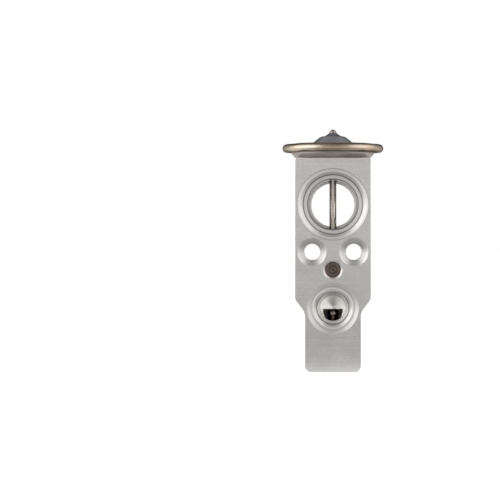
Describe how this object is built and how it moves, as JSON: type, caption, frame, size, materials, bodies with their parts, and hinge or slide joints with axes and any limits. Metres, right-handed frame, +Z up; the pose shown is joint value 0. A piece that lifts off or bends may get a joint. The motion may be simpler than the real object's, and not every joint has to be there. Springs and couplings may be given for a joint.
{
  "type": "thermostatic expansion valve",
  "caption": "Block-type expansion valve for a vehicle air conditioner: aluminium body with vapour and liquid ports, sprung ball valve and gas-charged diaphragm head.",
  "frame": {"origin": "on the flat foot of the block, on the axis of the rod", "axes": "+Z up the valve from the foot to the head, +X across the width, -Y out of the front face with the liquid inlet and the countersinks"},
  "size_m": [0.044, 0.044, 0.105],
  "materials": {
    "block_aluminium": "milled faces and turned ports",
    "head_steel": "pressed and turned stainless steel, dull",
    "tinted_weld": "weld bead with straw and brown heat tint",
    "spring_steel": "drawn spring steel",
    "pad_aluminium": "turned",
    "ball_steel": "ground and polished steel ball",
    "solder": "dull solder",
    "seal_rubber": "dark green seal rubber",
    "rod_steel": "ground stainless steel",
    "guide_brass": "turned brass",
    "carrier_brass": "turned brass, darkened",
    "ring_bronze": "rolled phosphor bronze",
    "screw_steel": "zinc-plated steel"
  },
  "bodies": {
    "body": {"valve_body": "block_aluminium", "head_base": "head_steel", "head_cover": "head_steel", "rim_weld": "tinted_weld", "diaphragm": "spring_steel", "charge_plug": "ball_steel", "plug_solder": "solder", "head_seal": "seal_rubber", "rod_guide": "guide_brass", "rod_seal": "seal_rubber", "gland_washer": "spring_steel"},
    "stem": {"diaphragm_pad": "pad_aluminium", "push_rod": "rod_steel", "valve_pin": "rod_steel", "valve_ball": "ball_steel", "ball_carrier": "carrier_brass", "damping_ring": "ring_bronze"},
    "adjuster_slide": {"superheat_spring": "spring_steel"},
    "adjuster": {"adjusting_screw": "screw_steel", "adjuster_seal": "seal_rubber"}
  },
  "joints": [
    {"name": "stem_lift", "type": "slide", "parent": "body", "child": "stem", "axis": [0, 0, 1], "range_m": [0, 0.0007], "stiffness_N_per_m": 4000, "springref_m": -0.001, "deforming": ["superheat_spring", "diaphragm"]},
    {"name": "adjuster_travel", "type": "slide", "parent": "body", "child": "adjuster_slide", "axis": [0, 0, 1], "range_m": [-0.001, 0.001], "deforming": ["superheat_spring"]},
    {"name": "adjuster_turn", "type": "hinge", "parent": "adjuster_slide", "child": "adjuster", "pos_m": [0, 0, 0], "axis": [0, 0, 1], "range_deg": [-360, 360]}
  ],
  "couplings": [
    {"joint": "adjuster_travel", "follows": "adjuster_turn", "m_per_rad": 0.00015915}
  ]
}
